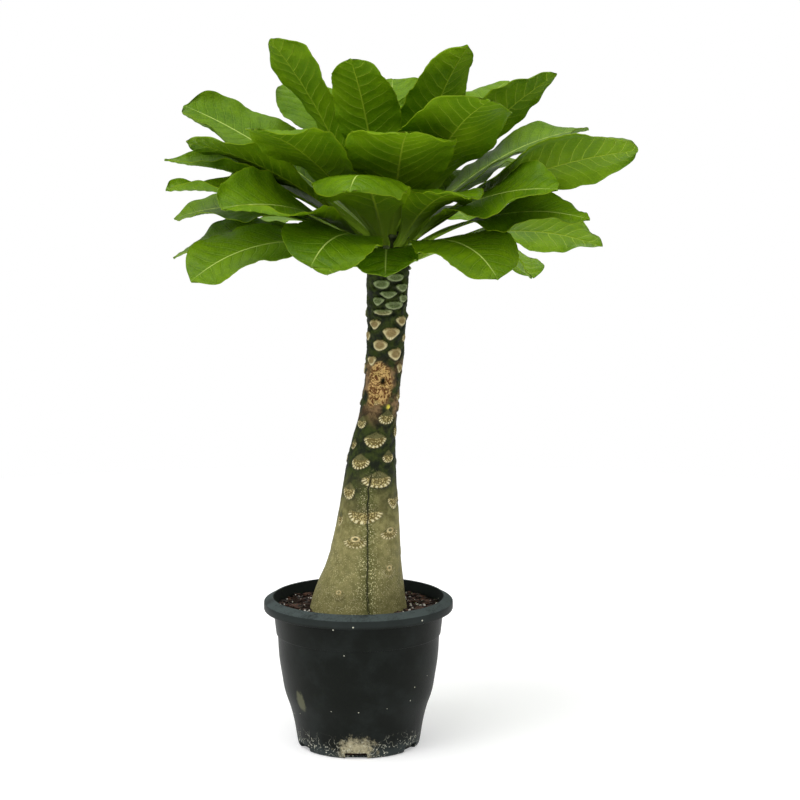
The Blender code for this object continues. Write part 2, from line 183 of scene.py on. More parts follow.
def zone(tree, place, centre, size, ragged=None):
    """1 in the middle of an ellipsoid, 0 outside it, with its edge broken up by ragged."""
    moved = add_node(tree, "VectorMath", {0: place, 1: centre}, operation="SUBTRACT").outputs[0]
    scaled = add_node(tree, "VectorMath", {0: moved, 1: size}, operation="DIVIDE").outputs[0]
    away = add_node(tree, "VectorMath", {0: scaled}, operation="LENGTH").outputs["Value"]
    if ragged is not None:
        away = sums(tree, "ADD", away, ragged)
    return soft_step(tree, away, 0.55, 1.0, 1.0, 0.0)


pot_finish, tree, shader = new_finish("dusty_plastic")
place = add_node(tree, "TexCoord").outputs["Object"]
height = add_node(tree, "SeparateXYZ", {0: place}).outputs[2]
normal = add_node(tree, "NewGeometry").outputs["Normal"]
upward = add_node(tree, "SeparateXYZ", {0: normal}).outputs[2]
broad = grain(tree, place, 38.0, 4.0, 0.6)
fine = grain(tree, place, 520.0, 4.0, 0.7)
rim_top = sums(
    tree, "MULTIPLY", soft_step(tree, height, 0.1262, 0.1300), soft_step(tree, upward, 0.20, 0.80),
)
dust = sums(tree, "MULTIPLY", rim_top, soft_step(tree, sums(tree, "ADD", broad, fine), 0.62, 1.25))
dust = sums(tree, "ADD", dust, soft_step(tree, height, 0.1260, 0.1300, 0.0, 0.22))
film = sums(tree, "MULTIPLY", soft_step(tree, broad, 0.42, 0.75), 0.10)
foot_dust = soft_step(
    tree, sums(tree, "ADD", height, sums(tree, "MULTIPLY", broad, -0.022)), -0.008, 0.004, 0.45, 0.0,
)
dust = sums(tree, "ADD", sums(tree, "ADD", dust, film), foot_dust, clamp=True)
colour = tint(tree, dust, PLASTIC, DUST)
ragged = sums(tree, "MULTIPLY_ADD", grain(tree, place, 210.0, 5.0, 0.75), 1.5, -0.75)
stain = zone(tree, place, (-0.0015, -0.0665, 0.008), (0.036, 0.016, 0.0165), ragged)
sandy = tint(tree, soft_step(tree, fine, 0.25, 0.75), (0.23, 0.20, 0.12), SAND)
colour = tint(tree, stain, colour, sandy)
scrape_place = add_node(
    tree, "Mapping", {"Vector": place, "Location": (0.0375, 0.0475, -0.0612), "Rotation": (0.0, 0.25, 0.0)},
).outputs[0]
scrape = zone(
    tree, scrape_place, (0.0, 0.0, 0.0), (0.0045, 0.02, 0.0125), sums(tree, "MULTIPLY", ragged, 0.6),
)
colour = tint(tree, sums(tree, "MULTIPLY", scrape, 0.50), colour, (0.16, 0.16, 0.09))
flecks = sums(
    tree, "MAXIMUM", speckle(tree, place, 80.0, 0.050, 0.16), speckle(tree, place, 190.0, 0.12, 0.07),
)
for fleck_place in ((-0.003, -0.0870, 0.129), (-0.021, -0.0752, 0.124), (0.058, -0.0649, 0.130)):
    flecks = sums(tree, "MAXIMUM", flecks, zone(tree, place, fleck_place, (0.0009, 0.0012, 0.0009)))
low_flecks = sums(
    tree,
    "MULTIPLY",
    speckle(tree, place, 420.0, 0.34, 0.30),
    soft_step(tree, height, 0.004, 0.016, 1.0, 0.0),
)
contour = sums(tree, "ABSOLUTE", sums(tree, "SUBTRACT", grain(tree, place, 95.0, 2.0, 0.5, 0.6), 0.5))
crust = sums(
    tree,
    "MULTIPLY",
    soft_step(tree, contour, 0.006, 0.018, 1.0, 0.0),
    soft_step(tree, height, 0.010, 0.024, 1.0, 0.0),
)
crust = sums(tree, "MULTIPLY", crust, soft_step(tree, fine, 0.40, 0.62))
chalky = sums(
    tree, "MAXIMUM", sums(tree, "MAXIMUM", flecks, low_flecks), sums(tree, "MULTIPLY", crust, 0.75),
)
colour = tint(tree, chalky, colour, CHALK)
tree.links.new(colour, shader.inputs["Base Color"])
rough = sums(tree, "MULTIPLY_ADD", dust, 0.30, 0.44)
tree.links.new(sums(tree, "MAXIMUM", rough, sums(tree, "MULTIPLY", stain, 0.9)), shader.inputs["Roughness"])
shader.inputs["Specular IOR Level"].default_value = 0.09
relief(tree, shader, sums(tree, "ADD", fine, sums(tree, "MULTIPLY", chalky, 2.0)), 0.00012)
pot.data.materials.append(pot_finish)
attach(pot, "root")
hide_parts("pot")


# Soil. Peat and composted bark with white perlite, poured round the root ball and watered in, so
# that it lies level, about a centimetre below the rim, in crumbs and chips.
SOIL_LEVEL = 0.128
SOIL_EDGE = 0.0764
SOIL_HOLE = 0.0436
SOIL_FLOOR = 0.0024
SOIL_TURNS = 220
BARK_CHIPS = 330
PERLITE_GRAINS = 150
rng = np.random.default_rng(11)


def soil_height(x, y):
    """Level soil in lumps of a few millimetres, sinking a little at the pot's wall."""
    lumps = noise.fractal((x * 75.0, y * 75.0, 3.1), 0.8, 2.1, 4) * 0.0017
    crumbs = noise.fractal((x * 260.0, y * 260.0, 7.7), 0.7, 2.0, 3) * 0.0007
    edge = max(0.0, math.hypot(x, y) - 0.068) / (SOIL_EDGE - 0.068)
    return SOIL_LEVEL + lumps + crumbs - 0.0012 * edge


def lathe(rings, name):
    """A closed body from rings of equal size, first to last, with a fan at each end."""
    rings = np.array(rings)
    rows, sides = rings.shape[:2]
    points = np.concatenate([rings.reshape(-1, 3), rings[:1].mean(axis=1), rings[-1:].mean(axis=1)])
    a = np.arange(rows * sides).reshape(rows, sides)
    b = np.roll(a, -1, axis=1)
    quads = np.stack([a[:-1], b[:-1], b[1:], a[1:]], axis=-1).reshape(-1, 4).tolist()
    first, last = rows * sides, rows * sides + 1
    caps = [(b[0, k], a[0, k], first) for k in range(sides)]
    caps += [(a[-1, k], b[-1, k], last) for k in range(sides)]
    mesh = bpy.data.meshes.new(name)
    mesh.from_pydata(points.tolist(), [], quads + [tuple(int(i) for i in cap) for cap in caps])
    mesh.validate()
    mesh.shade_smooth()
    made = bpy.data.objects.new(name, mesh)
    bpy.context.scene.collection.objects.link(made)
    return made


turns = np.arange(SOIL_TURNS) * 2.0 * math.pi / SOIL_TURNS
soil_rings = []
for radius, level in (
    (0.0520, SOIL_FLOOR), (0.0558, 0.020), (0.0640, 0.0505), (0.0708, 0.080), (0.0750, 0.1185),
):
    soil_rings.append([(radius * math.cos(t), radius * math.sin(t), level) for t in turns])
soil_rings.append([(SOIL_EDGE * math.cos(t), SOIL_EDGE * math.sin(t), SOIL_LEVEL - 0.003) for t in turns])
for radius in np.linspace(SOIL_EDGE, SOIL_HOLE, 34):
    ring = [(radius * math.cos(t), radius * math.sin(t)) for t in turns]
    soil_rings.append([(x, y, soil_height(x, y)) for x, y in ring])
for radius, level in ((0.0437, 0.110), (0.0437, 0.098), (0.0395, 0.0717)):
    soil_rings.append([(radius * math.cos(t), radius * math.sin(t), level) for t in turns])
soil = lathe(soil_rings, "peat_soil")


def strew(count, name, sizes, level, sides):
    """Small angular bits, each its own closed shape, lying on the soil inside the pot."""
    points, faces = [], []
    bpy.ops.mesh.primitive_ico_sphere_add(subdivisions=sides, radius=1.0)
    model = bpy.context.active_object
    shape = np.array([v.co for v in model.data.vertices])
    shape_faces = [tuple(p.vertices) for p in model.data.polygons]
    bpy.data.objects.remove(model, do_unlink=True)
    for _ in range(count):
        away = math.sqrt(rng.uniform(0.0475**2, 0.0745**2))
        around = rng.uniform(0.0, 2.0 * math.pi)
        x, y = away * math.cos(around), away * math.sin(around)
        size = np.array([rng.uniform(*span) for span in sizes])
        knobbly = shape * (1.0 + rng.uniform(-0.28, 0.28, (len(shape), 1)))
        boxy = np.sign(knobbly) * np.abs(knobbly) ** 0.75 * size
        turn, tilt = rng.uniform(0.0, 2.0 * math.pi), rng.normal(0.0, 0.32)
        spin = np.array(
            [[math.cos(turn), -math.sin(turn), 0], [math.sin(turn), math.cos(turn), 0], [0, 0, 1]],
        )
        lean = np.array(
            [[1, 0, 0], [0, math.cos(tilt), -math.sin(tilt)], [0, math.sin(tilt), math.cos(tilt)]],
        )
        placed = boxy @ lean.T @ spin.T
        placed += (x, y, soil_height(x, y) + level + size[2] * 0.35)
        faces += [tuple(i + len(points) for i in face) for face in shape_faces]
        points += placed.tolist()
    mesh = bpy.data.meshes.new(name)
    mesh.from_pydata(points, [], faces)
    bits = bpy.data.objects.new(name, mesh)
    bpy.context.scene.collection.objects.link(bits)
    return bits


bark = strew(BARK_CHIPS, "bark_chips", ((0.0014, 0.0048), (0.0009, 0.0026), (0.0005, 0.0014)), 0.0002, 1)
perlite = strew(
    PERLITE_GRAINS, "perlite_grains", ((0.0005, 0.0014), (0.0005, 0.0013), (0.0004, 0.0010)), 0.0004, 2,
)

soil_finish, tree, shader = new_finish("damp_peat")
place = add_node(tree, "TexCoord").outputs["Object"]
crumb = grain(tree, place, 420.0, 6.0, 0.7)
patch = grain(tree, place, 90.0, 3.0, 0.6)
colour = tint(tree, soft_step(tree, crumb, 0.38, 0.64), (0.004, 0.002, 0.001), (0.032, 0.016, 0.009))
colour = tint(
    tree, sums(tree, "MULTIPLY", soft_step(tree, patch, 0.48, 0.68), 0.5), colour, (0.055, 0.024, 0.011),
)
colour = tint(tree, speckle(tree, place, 430.0, 0.30, 0.07), colour, (0.55, 0.50, 0.42))
tree.links.new(colour, shader.inputs["Base Color"])
shader.inputs["Roughness"].default_value = 0.85
shader.inputs["Specular IOR Level"].default_value = 0.12
relief(tree, shader, crumb, 0.0012)
soil.data.materials.append(soil_finish)

bark_finish, tree, shader = new_finish("composted_bark")
place = add_node(tree, "TexCoord").outputs["Object"]
streak = grain(tree, place, 300.0, 4.0, 0.6, 1.5)
patch = grain(tree, place, 130.0, 1.0, 0.5)
colour = tint(tree, soft_step(tree, patch, 0.38, 0.62), (0.008, 0.004, 0.002), (0.070, 0.026, 0.012))
colour = tint(
    tree, sums(tree, "MULTIPLY", soft_step(tree, streak, 0.5, 0.7), 0.6), colour, (0.13, 0.06, 0.03),
)
tree.links.new(colour, shader.inputs["Base Color"])
shader.inputs["Roughness"].default_value = 0.80
relief(tree, shader, streak, 0.0006)
bark.data.materials.append(bark_finish)

perlite_finish, tree, shader = new_finish("perlite")
place = add_node(tree, "TexCoord").outputs["Object"]
froth = grain(tree, place, 900.0, 4.0, 0.6)
colour = tint(tree, soft_step(tree, froth, 0.35, 0.65), (0.42, 0.38, 0.32), (0.80, 0.78, 0.72))
tree.links.new(colour, shader.inputs["Base Color"])
shader.inputs["Roughness"].default_value = 0.90
relief(tree, shader, froth, 0.0004)
perlite.data.materials.append(perlite_finish)

for bits in (soil, bark, perlite):
    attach(bits, "root")
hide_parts("soil")


# Trunk. One fleshy, swollen stem that grew upwards and dropped its lower leaves, each of which left
# a shield-shaped scar. It is dark green and bumpy below the crown, and smooth, olive and speckled
# with cork at its foot, where it has split a little down the front.
TRUNK_SIDES = 232
TRUNK_HEIGHTS = [
    0.072, 0.098, 0.118, 0.134, 0.152, 0.169, 0.192, 0.214, 0.236, 0.259, 0.281, 0.303,
    0.325, 0.347, 0.369, 0.390, 0.412, 0.430, 0.455, 0.475, 0.496, 0.501, 0.5045,
]
TRUNK_RADII = [
    0.0400, 0.0445, 0.0458, 0.0433, 0.0392, 0.0345, 0.0308, 0.0280, 0.0252, 0.0228, 0.0200, 0.0176,
    0.0165, 0.0167, 0.0169, 0.0176, 0.0184, 0.0188, 0.0180, 0.0160, 0.0135, 0.0090, 0.0030,
]
TRUNK_LEANS = [
    0.0000, 0.0000, 0.0000, 0.0002, 0.0022, 0.0050, 0.0075, 0.0093, 0.0104, 0.0118, 0.0140, 0.0177,
    0.0210, 0.0232, 0.0250, 0.0260, 0.0265, 0.0270, 0.0280, 0.0288, 0.0294, 0.0296, 0.0296,
]
# Scars on the front: place across the trunk from -1 to 1, height, width and length in millimetres.
FRONT_SCARS = [
    (0.37, 432, 17, 8), (-0.27, 426, 16, 9), (0.67, 423, 12, 8), (0.07, 417, 15, 7),
    (-0.41, 411, 11, 8), (0.75, 413, 10, 8), (0.37, 407, 18, 8), (-0.17, 401, 18, 6),
    (0.74, 393, 12, 10), (-0.58, 390, 12, 9), (0.26, 382, 15, 12), (-0.89, 379, 7, 9),
    (-0.29, 371, 14, 11), (0.91, 377, 6, 8), (0.55, 363, 14, 12), (-0.66, 357, 10, 9),
    (-0.27, 320, 13, 6), (0.82, 350, 7, 9), (0.89, 324, 6, 8), (0.47, 306, 15, 14),
    (-0.75, 301, 12, 12), (0.95, 293, 7, 13), (0.06, 286, 21, 15), (-0.85, 281, 7, 10),
    (-0.47, 266, 18, 15), (0.69, 270, 13, 12), (0.30, 250, 29, 16), (-0.75, 239, 16, 16),
    (0.84, 230, 15, 16), (-0.14, 219, 34, 18), (-0.88, 213, 8, 15), (0.71, 201, 22, 13),
    (-0.33, 194, 23, 13), (0.68, 167, 16, 13), (-0.47, 147, 14, 10),
]
GOLDEN_ANGLE = math.radians(137.5)
# Scars round the back: how many, the first one's height, the rise to the next, and how far round.
BACK_SCARS, BACK_SCARS_FROM, BACK_SCAR_STEP, BACK_FROM_SINE = 73, 0.150, 0.0039, 0.12
CROWN_SCARS, CROWN_SCAR_STEP = 34, 0.0013
CROWN_SCAR_SIZE = (0.0048, 0.0022)
# The split down the front: height in metres and place across the trunk.
SPLIT = [(0.128, 0.25), (0.160, 0.146), (0.187, 0.063), (0.214, -0.012), (0.242, -0.039), (0.262, 0.11)]
CORKY_PATCH = (-0.16, 0.3365, 0.0125, 0.0205)
BUD = (0.46, 0.3152, 0.0022, 0.0026)
CROWN_FROM = 0.440


def trunk_at(height):
    return eased(height, TRUNK_HEIGHTS, TRUNK_RADII), eased(height, TRUNK_HEIGHTS, TRUNK_LEANS)


def step(low, high, value):
    t = np.clip((value - low) / (high - low), 0.0, 1.0)
    return t * t * (3.0 - 2.0 * t)


rows = np.concatenate(
    [[0.072, 0.085, 0.098, 0.112], np.linspace(0.122, 0.4400, 350), np.linspace(0.4420, 0.5045, 24)],
)
angles = np.arange(TRUNK_SIDES) * 2.0 * math.pi / TRUNK_SIDES
up, round_ = np.meshgrid(rows, angles, indexing="ij")
radius, lean = trunk_at(up)
radius_at = radius.copy()


def across_angle(across):
    return math.radians(270.0) + np.arcsin(across)


def offsets(angle, height, half_width, half_length):
    """Place of every point of the trunk in the units of one mark's half width and half length."""
    turn = (round_ - angle + math.pi) % (2.0 * math.pi) - math.pi
    return turn * radius_at / half_width, (up - height) / half_length


scars = [(across_angle(x), z / 1000, w / 2000, h / 2000) for x, z, w, h in FRONT_SCARS]
for index in range(BACK_SCARS):
    scar_height = BACK_SCARS_FROM + index * BACK_SCAR_STEP
    scar_angle = (index * GOLDEN_ANGLE) % (2.0 * math.pi)
    if math.sin(scar_angle) > BACK_FROM_SINE:
        girth = float(trunk_at(scar_height)[0])
        scars.append((scar_angle, scar_height, 0.30 * girth + 0.0020, 0.12 * girth + 0.0030))
for index in range(CROWN_SCARS):
    scars.append((index * GOLDEN_ANGLE, CROWN_FROM + index * CROWN_SCAR_STEP, *CROWN_SCAR_SIZE))

scar_mask = np.zeros_like(up)
scar_halo = np.zeros_like(up)
scar_place = np.zeros(up.shape + (3,))
lift = np.zeros_like(up)
for number, (scar_angle, scar_height, half_width, half_length) in enumerate(scars):
    a, b = offsets(scar_angle, scar_height, half_width, half_length)
    wobble = 0.06 * np.sin(3.0 * np.arctan2(b, a) + number)
    old = np.where(b < 0.0, np.hypot(a, b), np.abs(a) + (np.maximum(b, 0.0) / 0.95) ** 1.35)
    # The younger scars, high on the stem, still have the heart shape of the leaf stalk.
    heart = (np.abs(a) ** 1.7 + np.where(b < 0.3, np.abs(b - 0.3) / 1.3, (b - 0.3) / 0.62) ** 1.5) ** 0.62
    heart = heart + 0.30 * np.exp(-((a / 0.20) ** 2) - ((b - 0.95) / 0.30) ** 2)
    young = float(step(0.318, 0.330, scar_height))
    shield = (1.0 - young) * old + young * heart + wobble
    # Scars stand out most just below the crown and are level with the bark near the foot.
    proud = 0.00030 + 0.00110 * float(step(0.20, 0.34, scar_height))
    proud += 0.0006 * float(step(0.39, 0.41, scar_height))
    pad = proud * (1.0 - step(0.86, 1.18, shield)) * (1.0 - 0.35 * step(-0.2, 1.0, b))
    pad -= 0.25 * proud * (1.0 - step(0.30, 0.80, shield))
    pad -= 0.55 * proud * np.exp(-((shield - 1.32) / 0.16) ** 2) * (1.0 - step(-0.4, 0.2, b))
    lift = np.where(np.abs(pad) > np.abs(lift), pad, lift)
    inside = 1.0 - step(0.90, 1.04, shield)
    closer = inside > scar_mask
    scar_mask = np.maximum(scar_mask, inside)
    scar_halo = np.maximum(scar_halo, 1.0 - step(1.0, 1.45, shield))
    scar_place[closer, 0] = a[closer]
    scar_place[closer, 1] = b[closer]

bumps = np.array([noise.fractal((r * math.cos(t) * 90, r * math.sin(t) * 90, z * 90), 0.8, 2.0, 4)
                  for r, t, z in zip(radius.ravel(), round_.ravel(), up.ravel())]).reshape(up.shape)
a, b = offsets(across_angle(CORKY_PATCH[0]), *CORKY_PATCH[1:])
from_patch = np.hypot(a, b) + 0.35 * bumps
cork = 1.0 - step(0.75, 1.10, from_patch)
lift = lift * (1.0 - cork) + cork * (bumps * 0.0016 - 0.0004)
from_hole = np.hypot(a - 0.22, (b - 0.10) * 1.3) + 0.10 * bumps
hole = 1.0 - step(0.05, 0.30, from_hole)
lift += cork * 0.00035 * np.sin(from_hole * 9.0 + bumps * 9.0) - 0.0026 * hole
lift += 0.0010 * np.exp(-((from_hole - 0.42) / 0.14) ** 2)
a, b = offsets(across_angle(BUD[0]), *BUD[1:])
bud = 1.0 - step(0.5, 1.0, np.hypot(a, b))
lift += 0.0016 * bud

split_angle = across_angle(np.interp(rows, [z for z, _ in SPLIT], [x for _, x in SPLIT]))[:, None]
split_wander = np.array([noise.noise((0.0, z * 160.0, 5.0)) for z in rows])[:, None] * 0.0010
from_split = ((round_ - split_angle + math.pi) % (2.0 * math.pi) - math.pi) * radius_at + split_wander
split_share = (step(0.118, 0.130, up) * (1.0 - step(0.246, 0.262, up)))
split_line = split_share * (1.0 - step(0.0002, 0.0013, np.abs(from_split)))
lift -= 0.0007 * split_line
lift -= 0.0011 * split_share * np.exp(-((from_split / 0.0060) ** 2)) * (1.0 - step(0.19, 0.25, up))
lift += bumps * (0.00020 + 0.00080 * step(0.24, 0.36, up))
lift *= step(0.1225, 0.131, up)

radius = radius + lift
trunk = lathe(
    np.stack([lean + radius * np.cos(round_), radius * np.sin(round_), up], axis=-1), "scarred_trunk",
)
cap_points = 2


def add_layer(mesh, name, values):
    """Keeps a number or a vector for each point, which the material reads by name."""
    values = np.asarray(values, dtype=np.float32)
    wide = values.ndim > 1
    layer = mesh.attributes.new(name, "FLOAT_VECTOR" if wide else "FLOAT", "POINT")
    layer.data.foreach_set("vector" if wide else "value", values.ravel())


for name, values in (
    ("scar", scar_mask), ("halo", scar_halo), ("cork", cork), ("hole", hole), ("bud", bud),
    ("split", split_line), ("near_split", np.exp(-((from_split / 0.0075) ** 2)) * split_share),
    ("from_hole", from_hole),
):
    add_layer(trunk.data, name, np.concatenate([values.ravel(), np.zeros(cap_points)]))
add_layer(trunk.data, "scar_place", np.concatenate([scar_place.reshape(-1, 3), np.zeros((cap_points, 3))]))


def layer_of(tree, name, vector=False):
    return add_node(tree, "Attribute", attribute_name=name).outputs["Vector" if vector else "Fac"]


trunk_finish, tree, shader = new_finish("scarred_bark")
place = add_node(tree, "TexCoord").outputs["Object"]
height = add_node(tree, "SeparateXYZ", {0: place}).outputs[2]
fine = grain(tree, place, 650.0, 5.0, 0.65)
mottle = grain(tree, place, 150.0, 4.0, 0.6)
broad = grain(tree, place, 45.0, 3.0, 0.5)
lower = soft_step(tree, sums(tree, "MULTIPLY_ADD", broad, 0.05, height), 0.225, 0.285, 1.0, 0.0)
green = tint(tree, soft_step(tree, mottle, 0.35, 0.68), (0.005, 0.009, 0.001), (0.040, 0.056, 0.008))
olive = tint(tree, soft_step(tree, mottle, 0.32, 0.68), (0.150, 0.135, 0.040), (0.310, 0.280, 0.110))
olive = tint(tree, soft_step(tree, height, 0.145, 0.225, 0.45, 0.0), olive, (0.200, 0.185, 0.070))
colour = tint(tree, lower, green, olive)
brown = sums(tree, "MULTIPLY", soft_step(tree, broad, 0.42, 0.56), soft_step(tree, height, 0.290, 0.318))
brown = sums(tree, "MULTIPLY", brown, soft_step(tree, height, 0.348, 0.362, 0.85, 0.0))
colour = tint(
    tree,
    brown,
    colour,
    tint(tree, soft_step(tree, mottle, 0.4, 0.6), (0.110, 0.062, 0.026), (0.290, 0.175, 0.085)),
)
mossy = sums(tree, "MULTIPLY", layer_of(tree, "near_split"), 0.55)
colour = tint(tree, mossy, colour, (0.060, 0.075, 0.014))

# A scar is a half-moon of pale cork flecks, with a comb of cut strands along its lower edge. Above
# it lies the plain swollen cushion that the leaf stood on, and below it a crease with painted shade.
local = add_node(tree, "SeparateXYZ", {0: layer_of(tree, "scar_place", True)})
side, above = local.outputs[0], local.outputs[1]
away = sums(
    tree,
    "SQRT",
    sums(tree, "ADD", sums(tree, "MULTIPLY", side, side), sums(tree, "MULTIPLY", above, above)),
)
around = sums(tree, "ARCTAN2", sums(tree, "ADD", above, -0.45), side)
teeth = soft_step(tree, sums(tree, "SINE", sums(tree, "MULTIPLY", around, 26.0)), -0.3, 0.4)
comb = sums(tree, "MULTIPLY", soft_step(tree, away, 0.66, 0.76), soft_step(tree, above, 0.25, 0.0))
teeth = sums(tree, "MULTIPLY", teeth, comb)
chips = add_node(
    tree, "TexVoronoi", {"Vector": place, "Scale": 640.0, "Randomness": 0.9},
).outputs["Distance"]
chips = soft_step(tree, sums(tree, "MULTIPLY_ADD", mottle, 0.35, chips), 0.44, 0.70, 1.0, 0.0)
old = soft_step(tree, height, 0.310, 0.345, 1.0, 0.0)
cushion = sums(
    tree, "MULTIPLY", soft_step(tree, sums(tree, "MULTIPLY_ADD", away, -0.2, above), 0.02, 0.14), old,
)
face = tint(tree, chips, (0.150, 0.115, 0.034), (0.600, 0.500, 0.210))
ring = sums(
    tree,
    "MULTIPLY",
    soft_step(tree, away, 0.45, 0.75),
    soft_step(tree, sums(tree, "ADD", above, fine), 1.25, 0.7),
)
young = tint(
    tree,
    sums(tree, "MULTIPLY_ADD", fine, 0.5, sums(tree, "MULTIPLY", ring, 0.8)),
    (0.200, 0.115, 0.030),
    (0.640, 0.550, 0.290),
)
face = tint(tree, old, young, face)
face = tint(tree, teeth, face, (0.780, 0.700, 0.420))
green_face = tint(
    tree,
    sums(tree, "MULTIPLY_ADD", ring, 0.6, sums(tree, "MULTIPLY", fine, 0.5)),
    (0.075, 0.100, 0.028),
    (0.380, 0.450, 0.230),
)
face = tint(tree, soft_step(tree, height, 0.392, 0.406), face, green_face)
face = tint(
    tree,
    cushion,
    face,
    tint(tree, soft_step(tree, mottle, 0.4, 0.6), (0.085, 0.082, 0.026), (0.150, 0.140, 0.052)),
)
worn = soft_step(tree, height, 0.150, 0.215, 0.25, 1.0)
# Painted shade: the crease under each scar's lower edge is coloured near black in place of its shadow.
painted_crease_shade = sums(
    tree,
    "MULTIPLY",
    sums(tree, "SUBTRACT", layer_of(tree, "halo"), layer_of(tree, "scar")),
    soft_step(tree, above, 0.2, -0.3),
)
painted_crease_shade = sums(tree, "MULTIPLY", painted_crease_shade, soft_step(tree, height, 0.195, 0.235), clamp=True)
colour = tint(tree, sums(tree, "MULTIPLY", painted_crease_shade, 0.85), colour, (0.006, 0.009, 0.001))
colour = tint(tree, sums(tree, "MULTIPLY", layer_of(tree, "scar"), worn), colour, face)
fan = sums(tree, "MAXIMUM", teeth, chips)

# The oldest scars have faded into the skin, but for a ring round the hole where a bud was.
from_bud = sums(
    tree,
    "SQRT",
    sums(
        tree,
        "ADD",
        sums(tree, "POWER", side, 2.0),
        sums(tree, "POWER", sums(tree, "SUBTRACT", above, 0.35), 2.0),
    ),
)
bud_ring = sums(
    tree,
    "MULTIPLY",
    soft_step(tree, from_bud, 0.16, 0.24),
    soft_step(tree, from_bud, 0.34, 0.46, 1.0, 0.0),
)
bud_ring = sums(tree, "MULTIPLY", bud_ring, soft_step(tree, height, 0.203, 0.208, 1.0, 0.0))
bud_ring = sums(tree, "MULTIPLY", bud_ring, layer_of(tree, "scar"))
colour = tint(
    tree,
    bud_ring,
    colour,
    tint(tree, soft_step(tree, fine, 0.4, 0.6), (0.420, 0.300, 0.110), (0.740, 0.640, 0.340)),
)

# Cork breaks through the skin as pale specks, thickest along the split and at the foot.
speck_share = sums(
    tree, "ADD", layer_of(tree, "near_split"), soft_step(tree, height, 0.145, 0.235, 0.55, 0.0),
)
speck_share = sums(tree, "MULTIPLY", speck_share, soft_step(tree, broad, 0.35, 0.60, 0.25, 1.0))
specks = sums(
    tree, "MAXIMUM", speckle(tree, place, 520.0, 0.34, 0.45), speckle(tree, place, 260.0, 0.20, 0.35),
)
specks = sums(tree, "MAXIMUM", specks, speckle(tree, place, 900.0, 0.45, 0.40))
specks = sums(tree, "MULTIPLY", specks, speck_share, clamp=True)
colour = tint(tree, specks, colour, (0.740, 0.680, 0.360))
curls = grain(tree, place, 95.0, 4.0, 0.6, 1.2)
swirl = sums(tree, "MULTIPLY_ADD", curls, 34.0, sums(tree, "MULTIPLY", layer_of(tree, "from_hole"), 7.0))
swirl = sums(tree, "MULTIPLY_ADD", sums(tree, "SINE", swirl), 0.5, sums(tree, "MULTIPLY", fine, 0.9))
cork_colour = tint(tree, soft_step(tree, swirl, 0.0, 0.9), (0.130, 0.048, 0.010), (0.620, 0.410, 0.150))
colour = tint(tree, layer_of(tree, "cork"), colour, cork_colour)
colour = tint(
    tree,
    sums(tree, "MAXIMUM", layer_of(tree, "hole"), layer_of(tree, "split")),
    colour,
    (0.010, 0.012, 0.003),
)
colour = tint(tree, layer_of(tree, "bud"), colour, (0.750, 0.640, 0.080))
tree.links.new(colour, shader.inputs["Base Color"])
tree.links.new(soft_step(tree, mottle, 0.3, 0.7, 0.50, 0.72), shader.inputs["Roughness"])
shader.inputs["Specular IOR Level"].default_value = 0.18
bark_relief = sums(tree, "ADD", fine, sums(tree, "MULTIPLY", mottle, 1.5))
bark_relief = sums(
    tree,
    "ADD",
    bark_relief,
    sums(tree, "ADD", specks, sums(tree, "MULTIPLY", fan, layer_of(tree, "scar"))),
)
relief(tree, shader, bark_relief, 0.00035)
trunk.data.materials.append(trunk_finish)
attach(trunk, "root")
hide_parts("trunk")
